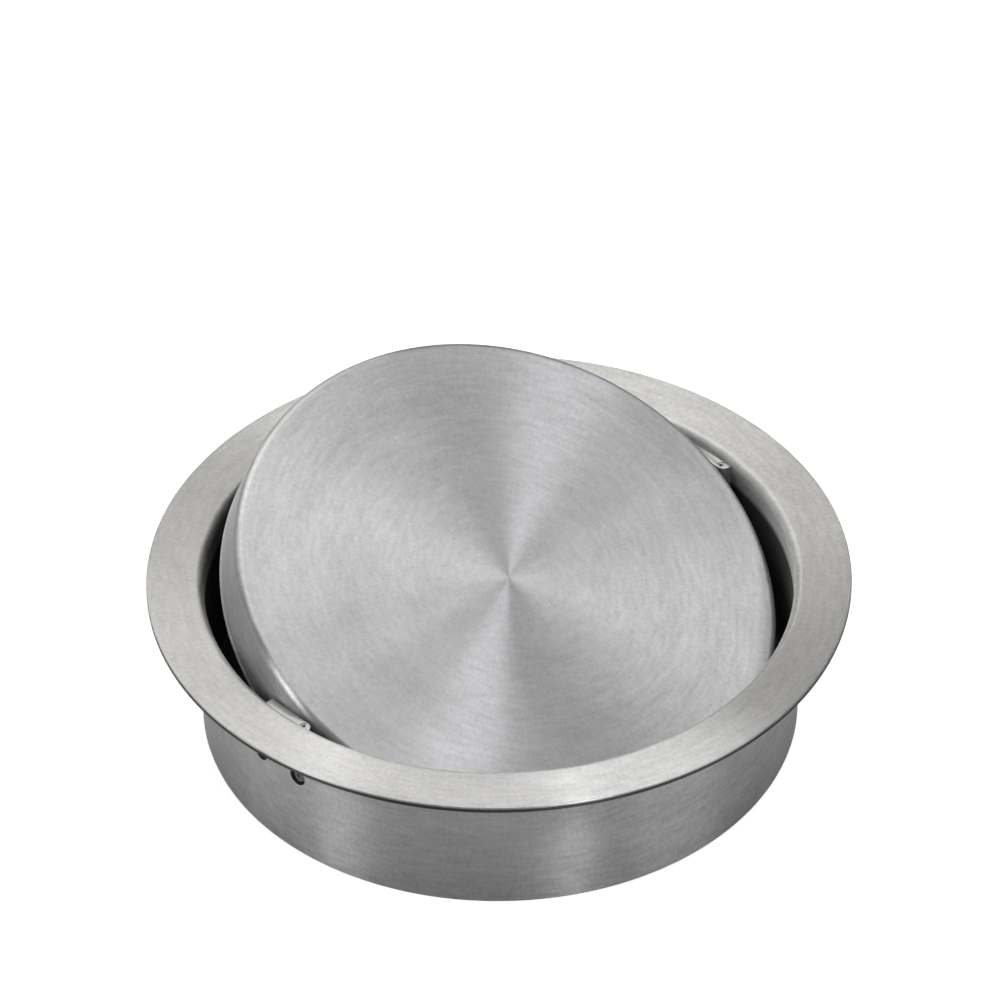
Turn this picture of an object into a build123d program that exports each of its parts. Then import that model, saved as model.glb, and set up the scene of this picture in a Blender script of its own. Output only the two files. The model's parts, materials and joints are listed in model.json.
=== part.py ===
from build123d import *
import math
import os

# A round desk grommet in brushed stainless steel: a flanged collar drops into a hole in a desk top, and a shallow
# lid swings in it about a horizontal axis, so that cables can pass beside the raised half. The collar is drawn from
# one sheet. Its flange and its wall are separate nodes that meet face to face at the bend.
#
# Frame: millimetres, +Z up. The origin is on the collar's axis, in the plane of the flange's underside, which is
# the desk's top surface once the grommet is fitted. The lid swings about an axis along X. +Y is the side that rises.

# Collar
DESK_HOLE_DIAMETER = 80.0  # the hole that the collar drops into
HOLE_CLEARANCE = 0.25  # radial
FLANGE_OVERLAP = 6.5  # how far the flange covers the desk round the hole
COLLAR_HEIGHT = 22.2  # flange's top to the lower rim
SHEET = 0.8  # stainless sheet of the collar and the lid
FLANGE_BEND = 0.4  # inside radius of the bend under the flange
RIM_BREAK = 0.25  # rounding of the flange's outer edge
LOWER_BREAK = 0.15  # rounding of the collar's lower rim

# Lid
LID_GAP = 1.85  # radial gap between the lid's skirt and the collar's wall
LID_DEPTH = 8.0  # top face to the skirt's lower edge
LID_CORNER = 1.0  # outside radius between the top face and the skirt
LID_PROUD = 0.8  # height of the closed lid's face above the flange
LIP_WIDTH = 0.15  # small outward lip along the skirt's lower edge
LIP_HEIGHT = 0.5

# Pivot
PIVOT_DEPTH = 3.9  # below the flange's top
REST_FLOOR_GAP = 0.3  # as the model stands, from the lid's low edge down to what the collar stands on
FULL_OPEN_ANGLE = 90.0  # degrees from closed
SCREW_DIAMETER = 2.0
RUNNING_CLEARANCE = 0.03  # radial, screw in bush
HEAD_DIAMETER = 3.8
HEAD_HOLE_CLEARANCE = 0.2  # radial, screw head in the collar's wall
HEAD_RECESS = 0.1  # screw head's face below the collar's outer surface
DRIVER_SLOT_WIDTH = 0.5
DRIVER_SLOT_DEPTH = 0.2
SPRING_HEIGHT = 0.25
SPRING_THICKNESS = 0.12
SPRING_GAP = 0.02  # each side of the disc spring
SPRING_BORE_CLEARANCE = 0.1
BUSH_WALL = 0.67
BUSH_FLANGE_THICKNESS = 0.3
BUSH_FLANGE_WIDTH = 0.6
BUSH_LID_GAP = 0.05
BUSH_END_RECESS = 0.1

# Pivot bracket
BRACKET_DROP = 1.2  # bracket's top below the flange's top
BRACKET_BACK = 3.3  # from the pivot axis towards +Y
BRACKET_END_WALL = 0.45  # in front of the stop slot
FOOT_HALF_WIDTH = 5.6
FOOT_HEIGHT = 3.8
FOOT_CORNER = 1.6
BRACKET_END_ROUND = 1.1  # of the upper part's front end
PIN_DIAMETER = 2.0
PIN_SPACING = 7.2
PIN_DEPTH = 5.2  # below the pivot axis
PIN_FOOT_MARGIN = 1.9  # from a pin's centre to the foot's lower edge
PIN_RECESS = 0.08
PIN_COUNTERSINK = 0.18
COIL_SHEET = 0.2  # rolled strip of the coiled spring pins
COIL_GAP = 0.09
COIL_TURNS = 2

# Travel stops
STOP_RADIUS = 3.4  # stop pin's distance from the pivot axis
STOP_PIN_DIAMETER = 1.2
STOP_SLOT_CLEARANCE = 0.15  # radial, stop pin in the bracket's slot
STOP_CONTACT_GAP = 0.03
STOP_TIP_GAP = 0.35  # stop pin's end to the collar's wall
STOP_HEAD_DIAMETER = 1.8
STOP_HEAD_THICKNESS = 0.6
STOP_HEAD_GAP = 0.04
LEVEL_SCREW_DIAMETER = 1.0
LEVEL_SCREW_RECESS = 0.1
LEVEL_SOCKET = 0.5  # across flats
LEVEL_SOCKET_DEPTH = 0.7

# Lug inside the lid
LUG_WIDTH = 4.4
LUG_THICKNESS = 2.0
LUG_BELOW_PIVOT = 2.6
LUG_TAIL = 7.5  # leg under the lid's face
LUG_TAIL_THICKNESS = 1.0
LUG_WALL_GAP = 0.05
NUT_ACROSS_FLATS = 4.0
NUT_THICKNESS = 1.2
SCREW_TAIL = 0.5  # screw's end past the nut
SMALL_CHAMFER = 0.15

# Worked out from the values above
FLANGE_RADIUS = DESK_HOLE_DIAMETER / 2 + FLANGE_OVERLAP
COLLAR_OUTER = DESK_HOLE_DIAMETER / 2 - HOLE_CLEARANCE
COLLAR_INNER = COLLAR_OUTER - SHEET
FLANGE_TOP = SHEET
COLLAR_BOTTOM = FLANGE_TOP - COLLAR_HEIGHT
LID_RADIUS = COLLAR_INNER - LID_GAP
LID_INNER = LID_RADIUS - SHEET
LIP_RADIUS = LID_RADIUS + LIP_WIDTH
PIVOT_Z = FLANGE_TOP - PIVOT_DEPTH
LID_FACE = PIVOT_DEPTH + LID_PROUD  # above the pivot axis, in the lid's own frame
LID_UNDERSIDE = LID_FACE - SHEET
LID_EDGE = LID_FACE - LID_DEPTH
LOW_EDGE_DROP = COLLAR_HEIGHT - PIVOT_DEPTH - REST_FLOOR_GAP  # from the pivot axis to the lid's low edge
LOW_EDGE_ANGLE = math.degrees(math.asin(LOW_EDGE_DROP / math.hypot(LIP_RADIUS, LID_EDGE)))
REST_OPEN_ANGLE = LOW_EDGE_ANGLE + math.degrees(math.atan2(LID_EDGE, LIP_RADIUS))
BRACKET_TOP = PIVOT_DEPTH - BRACKET_DROP  # above the pivot axis
BUSH_FLANGE_FACE = LID_RADIUS + BUSH_LID_GAP
BRACKET_FACE = BUSH_FLANGE_FACE + BUSH_FLANGE_THICKNESS
BUSH_BORE = SCREW_DIAMETER / 2 + RUNNING_CLEARANCE
BUSH_RADIUS = BUSH_BORE + BUSH_WALL
SPRING_FACE = COLLAR_INNER + SPRING_GAP
HEAD_FACE = SPRING_FACE + SPRING_HEIGHT + SPRING_GAP
HEAD_END = COLLAR_OUTER - HEAD_RECESS
SLOT_RADIUS = STOP_PIN_DIAMETER / 2 + STOP_SLOT_CLEARANCE
BRACKET_FRONT = STOP_RADIUS + SLOT_RADIUS + BRACKET_END_WALL  # from the pivot axis towards -Y
LUG_FACE = LID_INNER - LUG_THICKNESS
NUT_FACE = LUG_FACE - NUT_THICKNESS
FAR = 4 * FLANGE_RADIUS  # longer than anything a cut has to pass through


def at_radius(radius, offset):
    """X of a point on a circle of this radius about the collar's axis, at this distance from the XZ plane."""
    return math.sqrt(radius**2 - offset**2)


def along_x(radius, start, end, y=0.0, z=0.0):
    """A round bar along X, from start to end."""
    bar = extrude(Plane.YZ * Circle(radius), end - start)
    return Pos(start, y, z) * bar


def about_x(points):
    """A ring turned about the X axis, from (x, radius) corners."""
    outline = make_face(Polyline(*points, close=True).edges())
    return revolve(outline, Axis.X)


def other_side(shape):
    """The same piece on the left side, as a mirror image."""
    return mirror(shape, about=Plane.YZ)


def in_collar(shape):
    """Moves a piece from the pivot's frame to the collar's."""
    return Pos(0, 0, PIVOT_Z) * shape


def in_lid(shape):
    """Moves a piece from the closed lid's frame, centred on the pivot axis, to where the lid stands."""
    return Pos(0, 0, PIVOT_Z) * (Rot(REST_OPEN_ANGLE, 0, 0) * shape)


def turned(points_and_arcs):
    """A closed ring or dish turned about Z, from edges drawn in the XZ plane."""
    return revolve(make_face(points_and_arcs), Axis.Z)


def corner_arc(start, centre, end):
    """A quarter arc in the XZ plane from start to end, about centre, all as (x, z)."""
    radius = math.dist(start, centre)
    middle = [(a + b) / 2 - c for a, b, c in zip(start, end, centre)]
    scale = radius / math.hypot(*middle)
    through = [c + scale * m for c, m in zip(centre, middle)]
    return ThreePointArc(*[(x, 0, z) for x, z in (start, through, end)])


def straight(start, end):
    """A line in the XZ plane between two (x, z) points."""
    return Line((start[0], 0, start[1]), (end[0], 0, end[1]))


def pin_places():
    """(y, z) of a bracket's two pins, from the pivot axis."""
    return [(side * PIN_SPACING / 2, -PIN_DEPTH) for side in (-1, 1)]


def collar_flange():
    """The collar's flange and the bend that turns it out of the wall."""
    bend = (COLLAR_OUTER + FLANGE_BEND, -FLANGE_BEND)
    wall_out = (COLLAR_OUTER, bend[1])
    wall_in = (COLLAR_INNER, bend[1])
    rim = FLANGE_RADIUS - RIM_BREAK
    under = (bend[0], 0)
    under_end = (rim, 0)
    rim_low = (FLANGE_RADIUS, RIM_BREAK)
    rim_high = (FLANGE_RADIUS, FLANGE_TOP - RIM_BREAK)
    top_end = (rim, FLANGE_TOP)
    top = (bend[0], FLANGE_TOP)
    return turned(
        [
            corner_arc(wall_out, bend, under),
            straight(under, under_end),
            corner_arc(under_end, (rim, rim_low[1]), rim_low),
            straight(rim_low, rim_high),
            corner_arc(rim_high, (rim, rim_high[1]), top_end),
            straight(top_end, top),
            corner_arc(top, bend, wall_in),
            straight(wall_in, wall_out),
        ]
    )


def collar_holes():
    """The holes in the wall on the right side: one for the pivot screw's head, two for the bracket's pins."""
    inside = COLLAR_INNER - SHEET
    holes = along_x(HEAD_DIAMETER / 2 + HEAD_HOLE_CLEARANCE, inside, COLLAR_OUTER + SHEET)
    for y, z in pin_places():
        surface = at_radius(COLLAR_OUTER, y)
        holes += along_x(PIN_DIAMETER / 2, inside, surface + SHEET, y, z)
        mouth = Plane((surface - PIN_COUNTERSINK, y, z), x_dir=(0, 1, 0), z_dir=(1, 0, 0))
        wide = PIN_DIAMETER / 2 + 2 * PIN_COUNTERSINK
        holes += loft([mouth * Circle(PIN_DIAMETER / 2), mouth.offset(2 * PIN_COUNTERSINK) * Circle(wide)])
    return in_collar(holes)


def collar_wall():
    """The collar's tube, from the bend down to its rounded lower rim, with its holes."""
    foot = COLLAR_BOTTOM + LOWER_BREAK
    inner = COLLAR_INNER + LOWER_BREAK
    outer = COLLAR_OUTER - LOWER_BREAK
    wall = turned(
        [
            straight((COLLAR_OUTER, foot), (COLLAR_OUTER, -FLANGE_BEND)),
            straight((COLLAR_OUTER, -FLANGE_BEND), (COLLAR_INNER, -FLANGE_BEND)),
            straight((COLLAR_INNER, -FLANGE_BEND), (COLLAR_INNER, foot)),
            corner_arc((COLLAR_INNER, foot), (inner, foot), (inner, COLLAR_BOTTOM)),
            straight((inner, COLLAR_BOTTOM), (outer, COLLAR_BOTTOM)),
            corner_arc((outer, COLLAR_BOTTOM), (outer, foot), (COLLAR_OUTER, foot)),
        ]
    )
    holes = collar_holes()
    return wall - holes - other_side(holes)


def lid_dish():
    """The lid's drawn dish in its own frame: flat face, rounded corner, skirt and a small lip."""
    corner = (LID_RADIUS - LID_CORNER, LID_FACE - LID_CORNER)
    lip_top = LID_EDGE + LIP_HEIGHT
    corners_down = [
        (LID_RADIUS, corner[1]),
        (LID_RADIUS, lip_top),
        (LIP_RADIUS, lip_top - LIP_WIDTH),
        (LIP_RADIUS, LID_EDGE),
        (LID_INNER, LID_EDGE),
        (LID_INNER, corner[1]),
    ]
    skirt = [straight(a, b) for a, b in zip(corners_down, corners_down[1:])]
    return turned(
        [
            straight((0, LID_FACE), (corner[0], LID_FACE)),
            corner_arc((corner[0], LID_FACE), corner, corners_down[0]),
            *skirt,
            corner_arc(corners_down[-1], corner, (corner[0], LID_UNDERSIDE)),
            straight((corner[0], LID_UNDERSIDE), (0, LID_UNDERSIDE)),
            straight((0, LID_UNDERSIDE), (0, LID_FACE)),
        ]
    )


def lid_pan():
    holes = along_x(SCREW_DIAMETER / 2, LID_INNER - SHEET, LID_RADIUS + SHEET)
    holes += along_x(STOP_PIN_DIAMETER / 2, LID_INNER - SHEET, LID_RADIUS + SHEET, -STOP_RADIUS)
    return in_lid(lid_dish() - holes - other_side(holes))


def stop_slot():
    """The curved slot that the lid's stop pin runs in, cut right through the bracket. Its lower end is the stop."""
    end_slack = math.degrees((STOP_SLOT_CLEARANCE - STOP_CONTACT_GAP) / STOP_RADIUS)
    angles = [180.0, 180.0 + FULL_OPEN_ANGLE - end_slack]
    ring = Circle(STOP_RADIUS + SLOT_RADIUS) - Circle(STOP_RADIUS - SLOT_RADIUS)
    places = [(STOP_RADIUS * math.cos(math.radians(a)), STOP_RADIUS * math.sin(math.radians(a))) for a in angles]
    reach = 2 * STOP_RADIUS / math.cos(math.radians(FULL_OPEN_ANGLE / 4))
    fan_angles = [angles[0] + step / 2 * (angles[1] - angles[0]) for step in range(3)]
    fan = [(reach * math.cos(math.radians(a)), reach * math.sin(math.radians(a))) for a in fan_angles]
    wedge = make_face(Polyline((0, 0), *fan, close=True).edges())
    slot = ring & wedge
    for y, z in places:
        slot += Pos(y, z) * Circle(SLOT_RADIUS)
    return Pos(COLLAR_INNER - 2 * LID_GAP, 0, 0) * extrude(Plane.YZ * slot, 4 * LID_GAP)


def level_hole():
    """(x, radius) of the upright screw's hole in the bracket's front end."""
    outside = at_radius(COLLAR_INNER, STOP_RADIUS)
    return (BRACKET_FACE + outside) / 2, LEVEL_SCREW_DIAMETER / 2


def pivot_bracket():
    """The block between the collar's wall and the lid's skirt, in the pivot's frame, on the right side."""
    foot_bottom = -PIN_DEPTH - PIN_FOOT_MARGIN
    foot_middle = foot_bottom + FOOT_HEIGHT / 2
    thickness = COLLAR_OUTER - BRACKET_FACE
    width = BRACKET_FRONT + BRACKET_BACK
    upper = Box(thickness, width, BRACKET_TOP - foot_middle, align=(Align.MIN, Align.MIN, Align.MIN))
    inner_front = upper.edges().filter_by(Axis.Z).sort_by(SortBy.DISTANCE)[0]
    upper = Pos(BRACKET_FACE, -BRACKET_FRONT, foot_middle) * fillet(inner_front, BRACKET_END_ROUND)
    foot = Pos(0, foot_middle) * RectangleRounded(2 * FOOT_HALF_WIDTH, FOOT_HEIGHT, FOOT_CORNER)
    block = upper + Pos(BRACKET_FACE, 0, 0) * extrude(Plane.YZ * foot, thickness)
    block &= Pos(0, 0, -FAR / 2) * Cylinder(COLLAR_INNER, 2 * FAR)
    block -= along_x(BUSH_RADIUS, BRACKET_FACE - SHEET, COLLAR_OUTER)
    block -= stop_slot()
    for y, z in pin_places():
        block -= along_x(PIN_DIAMETER / 2, BRACKET_FACE - SHEET, COLLAR_OUTER, y, z)
    x, radius = level_hole()
    block -= Pos(x, -STOP_RADIUS, 0) * Cylinder(radius, FAR, align=(Align.CENTER, Align.CENTER, Align.MIN))
    return block


def coiled_pin_section():
    """The rolled strip's end view: half rings that step inwards by half a pitch at each join."""
    pitch = COIL_SHEET + COIL_GAP
    section = None
    for half in range(2 * COIL_TURNS + 1):
        outer = PIN_DIAMETER / 2 - half * pitch / 2
        centre = -pitch / 2 if half % 2 else 0.0
        side = -1 if half % 2 else 1
        ring = Circle(outer) - Circle(outer - COIL_SHEET)
        ring &= Pos(0, side * PIN_DIAMETER / 2) * Rectangle(2 * PIN_DIAMETER, PIN_DIAMETER)
        ring = Pos(centre, 0) * ring
        section = ring if section is None else section + ring
    return section


def bracket_pins():
    """The two coiled spring pins that hold the bracket to the wall, in the pivot's frame."""
    start = BRACKET_FACE + PIN_RECESS
    pins = []
    for y, z in pin_places():
        end = at_radius(COLLAR_OUTER, abs(y) + PIN_DIAMETER / 2) - PIN_RECESS
        pins.append(Pos(start, y, z) * extrude(Plane.YZ * coiled_pin_section(), end - start))
    return Compound(pins)


def pivot_bush():
    """Flanged plastic bush: its flange keeps the lid's skirt off the bracket."""
    flange_radius = BUSH_RADIUS + BUSH_FLANGE_WIDTH
    end = COLLAR_INNER - BUSH_END_RECESS
    return about_x(
        [
            (BUSH_FLANGE_FACE, BUSH_BORE),
            (BUSH_FLANGE_FACE, flange_radius),
            (BRACKET_FACE, flange_radius),
            (BRACKET_FACE, BUSH_RADIUS),
            (end, BUSH_RADIUS),
            (end, BUSH_BORE),
        ]
    )


def disc_spring():
    """Shallow cone under the pivot screw's head, which gives the lid its drag."""
    bore = SCREW_DIAMETER / 2 + SPRING_BORE_CLEARANCE
    rise = SPRING_HEIGHT - SPRING_THICKNESS
    rim = HEAD_DIAMETER / 2
    return about_x(
        [
            (SPRING_FACE + rise, bore),
            (SPRING_FACE, rim),
            (SPRING_FACE + SPRING_THICKNESS, rim),
            (SPRING_FACE + SPRING_HEIGHT, bore),
        ]
    )


def level_screw():
    """Upright grub screw in the bracket's front end. Its tip stops the lid level with the flange."""
    x, radius = level_hole()
    tip = STOP_PIN_DIAMETER / 2 + STOP_CONTACT_GAP
    top = BRACKET_TOP - LEVEL_SCREW_RECESS
    screw = Pos(x, -STOP_RADIUS, tip) * Cylinder(radius, top - tip, align=(Align.CENTER, Align.CENTER, Align.MIN))
    socket = extrude(RegularPolygon(LEVEL_SOCKET / 2, 6, major_radius=False), -LEVEL_SOCKET_DEPTH)
    screw -= Pos(x, -STOP_RADIUS, top) * socket
    return chamfer(screw.edges().group_by(Axis.Z)[0], SMALL_CHAMFER)


def pivot_screw():
    """Slotted screw that turns with the lid: head in the collar's wall, shank through bush, skirt, lug and nut."""
    head = along_x(HEAD_DIAMETER / 2, HEAD_FACE, HEAD_END)
    slot_middle = HEAD_END - DRIVER_SLOT_DEPTH / 2
    head -= Pos(slot_middle, 0, 0) * Box(DRIVER_SLOT_DEPTH, HEAD_DIAMETER, DRIVER_SLOT_WIDTH)
    end = NUT_FACE - SCREW_TAIL
    shank = along_x(SCREW_DIAMETER / 2, end, HEAD_FACE)
    shank = chamfer(shank.edges().group_by(Axis.X)[0], SMALL_CHAMFER)
    return head + shank


def stop_pin():
    """Headed pin pressed through the skirt: it runs in the bracket's curved slot."""
    tip = at_radius(COLLAR_INNER, STOP_RADIUS) - STOP_TIP_GAP
    seat = at_radius(LID_INNER, STOP_RADIUS + STOP_HEAD_DIAMETER / 2) - STOP_HEAD_GAP
    pin = along_x(STOP_PIN_DIAMETER / 2, seat, tip, -STOP_RADIUS)
    pin = chamfer(pin.edges().group_by(Axis.X)[-1], SMALL_CHAMFER)
    return pin + along_x(STOP_HEAD_DIAMETER / 2, seat - STOP_HEAD_THICKNESS, seat, -STOP_RADIUS)


def lid_lug():
    """Threaded angle piece welded inside the lid, behind the skirt."""
    height = LID_UNDERSIDE + LUG_BELOW_PIVOT
    leg = Box(LUG_THICKNESS + SHEET, LUG_WIDTH, height, align=(Align.MIN, Align.CENTER, Align.MIN))
    leg = Pos(LUG_FACE, 0, -LUG_BELOW_PIVOT) * leg
    leg &= Cylinder(LID_INNER - LUG_WALL_GAP, FAR)
    clear_corner = LID_CORNER - SHEET + LUG_WALL_GAP
    room = extrude(Circle(LID_INNER - clear_corner), LID_UNDERSIDE)
    room += extrude(Circle(LID_INNER), LID_UNDERSIDE - clear_corner)
    room += extrude(Circle(LID_INNER), -LID_UNDERSIDE - LUG_BELOW_PIVOT)
    leg &= room
    tail = Box(LUG_TAIL, LUG_WIDTH, LUG_TAIL_THICKNESS, align=(Align.MAX, Align.CENTER, Align.MAX))
    lug = leg + Pos(LUG_FACE, 0, LID_UNDERSIDE) * tail
    return lug - along_x(SCREW_DIAMETER / 2, LUG_FACE - SHEET, LID_RADIUS)


def jam_nut():
    """Thin hexagon nut that locks the pivot screw in the lug."""
    hexagon = RegularPolygon(NUT_ACROSS_FLATS / 2, 6, major_radius=False)
    nut = Pos(NUT_FACE, 0, 0) * extrude(Plane.YZ * hexagon, NUT_THICKNESS)
    return nut - along_x(SCREW_DIAMETER / 2, NUT_FACE - SHEET, LUG_FACE + SHEET)


def half_turned(shape):
    """The same piece on the left side, turned half round the collar's axis instead of mirrored."""
    return Rot(0, 0, 180) * shape


def main():
    os.makedirs("parts", exist_ok=True)
    nodes = {"collar_flange": collar_flange(), "collar_wall": collar_wall(), "lid_pan": lid_pan()}
    pairs = [
        ("pivot_bracket", pivot_bracket, in_collar, other_side),
        ("bracket_pins", bracket_pins, in_collar, half_turned),
        ("pivot_bush", pivot_bush, in_collar, other_side),
        ("disc_spring", disc_spring, in_collar, other_side),
        ("level_screw", level_screw, in_collar, other_side),
        ("pivot_screw", pivot_screw, in_lid, other_side),
        ("stop_pin", stop_pin, in_lid, other_side),
        ("lid_lug", lid_lug, in_lid, other_side),
        ("jam_nut", jam_nut, in_lid, other_side),
    ]
    for name, make, place, to_left in pairs:
        piece = make()
        nodes["right_" + name] = place(piece)
        nodes["left_" + name] = place(to_left(piece))
    for name, shape in nodes.items():
        export_step(shape, f"parts/{name}.step")


main()
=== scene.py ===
"""Looks of a desk grommet: a drawn steel collar with a tilting lid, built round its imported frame.

Every piece is in metres and stands where the frame has it. The collar and the lid are spun by Geometry
Nodes from their sections, the small turned pieces are made the same way, and the brackets, lugs and
nuts are the frame's own shapes with their edges broken.
"""

import json
import logging
import math
from collections.abc import Sequence
from dataclasses import dataclass, field
from enum import Enum

import bmesh
import bpy
from bpy.types import Material, Mesh, Node, NodeSocket, NodeTree, Object
from mathutils import Euler, Matrix, Vector


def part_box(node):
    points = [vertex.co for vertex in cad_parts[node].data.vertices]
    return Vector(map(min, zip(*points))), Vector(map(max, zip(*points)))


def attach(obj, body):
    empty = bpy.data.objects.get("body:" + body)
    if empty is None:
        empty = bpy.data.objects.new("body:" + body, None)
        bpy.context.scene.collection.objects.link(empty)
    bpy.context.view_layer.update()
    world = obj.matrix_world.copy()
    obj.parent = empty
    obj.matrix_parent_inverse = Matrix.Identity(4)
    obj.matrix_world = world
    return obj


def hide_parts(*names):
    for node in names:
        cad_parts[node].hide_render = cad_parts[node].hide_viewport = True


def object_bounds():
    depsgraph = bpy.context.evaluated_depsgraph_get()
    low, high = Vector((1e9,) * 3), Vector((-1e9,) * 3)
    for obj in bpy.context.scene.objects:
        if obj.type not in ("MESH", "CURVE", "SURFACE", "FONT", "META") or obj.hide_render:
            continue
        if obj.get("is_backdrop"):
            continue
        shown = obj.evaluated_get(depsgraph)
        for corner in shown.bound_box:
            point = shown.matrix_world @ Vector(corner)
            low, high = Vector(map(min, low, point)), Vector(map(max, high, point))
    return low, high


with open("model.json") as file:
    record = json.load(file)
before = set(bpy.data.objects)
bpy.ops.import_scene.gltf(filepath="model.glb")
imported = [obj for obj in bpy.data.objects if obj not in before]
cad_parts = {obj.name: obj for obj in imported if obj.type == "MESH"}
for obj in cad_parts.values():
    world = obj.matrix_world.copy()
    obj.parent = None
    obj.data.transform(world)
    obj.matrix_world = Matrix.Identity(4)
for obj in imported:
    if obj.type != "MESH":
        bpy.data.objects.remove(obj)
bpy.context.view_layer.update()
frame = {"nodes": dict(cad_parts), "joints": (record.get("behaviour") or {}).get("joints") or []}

MM = 0.001
TURN = 2 * math.pi
WELD = 1e-7
SHARP_EDGE = math.radians(32)
UV_NAME = "turned"
log = logging.getLogger("grommet")

Feed = float | int | bool | Sequence[float] | NodeSocket | Material | None


class Side(Enum):
    """The two ends of the pivot axis, each with its direction along X."""

    RIGHT = 1
    LEFT = -1

    @property
    def label(self) -> str:
        """The side's name as the frame's nodes have it."""
        return self.name.lower()


class Body(Enum):
    """The two moving bodies of the frame."""

    COLLAR = "collar"
    LID = "lid"


class NodeBench:
    """Adds nodes to a tree from left to right and joins them."""

    STEP = 190

    def __init__(self, tree: NodeTree) -> None:
        """Starts work on a tree, which may hold nodes already."""
        self.tree = tree
        self.placed = 0

    def add(self, kind: str, *feeds: Feed, **settings: object) -> Node:
        """Adds one node.

        Args:
            kind: Blender's name of the node's type.
            feeds: What its inputs take, in their order: a value, an output to link, or None for neither.
            settings: The node's own properties.

        Returns:
            The new node.
        """
        node = self.tree.nodes.new(kind)
        node.location = (self.STEP * (self.placed // 3), -220 * (self.placed % 3))
        self.placed += 1
        for name, value in settings.items():
            setattr(node, name, value)
        for index, value in enumerate(feeds):
            self.feed(node.inputs[index], value)
        return node

    def feed(self, socket: NodeSocket, value: Feed) -> None:
        """Gives an input a value, or links an output to it."""
        if isinstance(value, NodeSocket):
            self.tree.links.new(value, socket)
        elif value is not None:
            socket.default_value = value

    def feeds(self, node: Node, **named: Feed) -> Node:
        """Gives a node's inputs their values by name, with underscores for spaces."""
        for name, value in named.items():
            self.feed(node.inputs[name.replace("_", " ")], value)
        return node

    def maths(self, operation: str, a: Feed, b: Feed = None, c: Feed = None) -> NodeSocket:
        """The result of one Math node."""
        return self.add("ShaderNodeMath", a, b, c, operation=operation).outputs[0]

    def times(self, a: Feed, b: Feed) -> NodeSocket:
        """One value times another."""
        return self.maths("MULTIPLY", a, b)

    def minus(self, a: Feed, b: Feed) -> NodeSocket:
        """One value less another."""
        return self.maths("SUBTRACT", a, b)

    def summed(self, start: Feed, *terms: tuple[Feed, Feed]) -> Feed:
        """A start value with each term added to it, a term being a value and its share."""
        for value, share in terms:
            start = self.maths("MULTIPLY_ADD", value, share, start)
        return start

    def ramp(self, value: Feed, low: float, high: float, floor: float = 0.0) -> NodeSocket:
        """A value mapped smoothly from between two limits to between a floor and 1, and held at its ends."""
        return self.add(
            "ShaderNodeMapRange", value, low, high, floor, 1.0, interpolation_type="SMOOTHSTEP"
        ).outputs[0]

    def vector(self, x: Feed, y: Feed, z: Feed) -> NodeSocket:
        """A vector from its three parts."""
        return self.add("ShaderNodeCombineXYZ", x, y, z).outputs[0]

    def noise(self, place: Feed, scale: Feed, detail: float = 2.0, rough: float = 0.5) -> NodeSocket:
        """The value of a noise texture at a place.

        Args:
            place: Where the noise is read.
            scale: Its size, in features to a unit.
            detail: How many finer layers it has.
            rough: How strong the finer layers are.

        Returns:
            The noise, from 0 to 1.
        """
        node = self.add("ShaderNodeTexNoise")
        self.feeds(node, Vector=place, Scale=scale, Detail=detail, Roughness=rough)
        return node.outputs["Fac"]

    def mixed(self, share: Feed, a: Feed, b: Feed) -> NodeSocket:
        """Two colours mixed by a share.

        Args:
            share: How much of the second colour is taken.
            a: The first colour.
            b: The second colour.

        Returns:
            The mixed colour.
        """
        node = self.add("ShaderNodeMix", data_type="RGBA")
        for socket, value in zip((node.inputs[0], node.inputs[6], node.inputs[7]), (share, a, b)):
            self.feed(socket, value)
        return node.outputs[2]


def new_group(name: str, kind: str, takes: dict[str, tuple[str, object]], gives: dict[str, str]) -> tuple:
    """Makes an empty node group with its named sockets.

    Args:
        name: The group's name.
        kind: Blender's tree type, for shaders or for geometry.
        takes: Each input's name, with its socket type and default value.
        gives: Each output's name, with its socket type.

    Returns:
        The tree, a bench on it, its input node and its output node.
    """
    tree = bpy.data.node_groups.new(name, kind)
    for label, (socket_type, value) in takes.items():
        socket = tree.interface.new_socket(label, in_out="INPUT", socket_type=socket_type)
        if value is not None:
            socket.default_value = value
    for label, socket_type in gives.items():
        tree.interface.new_socket(label, in_out="OUTPUT", socket_type=socket_type)
    bench = NodeBench(tree)
    return tree, bench, bench.add("NodeGroupInput"), bench.add("NodeGroupOutput")


FLOAT, VECTOR, INTEGER = "NodeSocketFloat", "NodeSocketVector", "NodeSocketInt"
GEOMETRY, MATERIAL = "NodeSocketGeometry", "NodeSocketMaterial"


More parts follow.
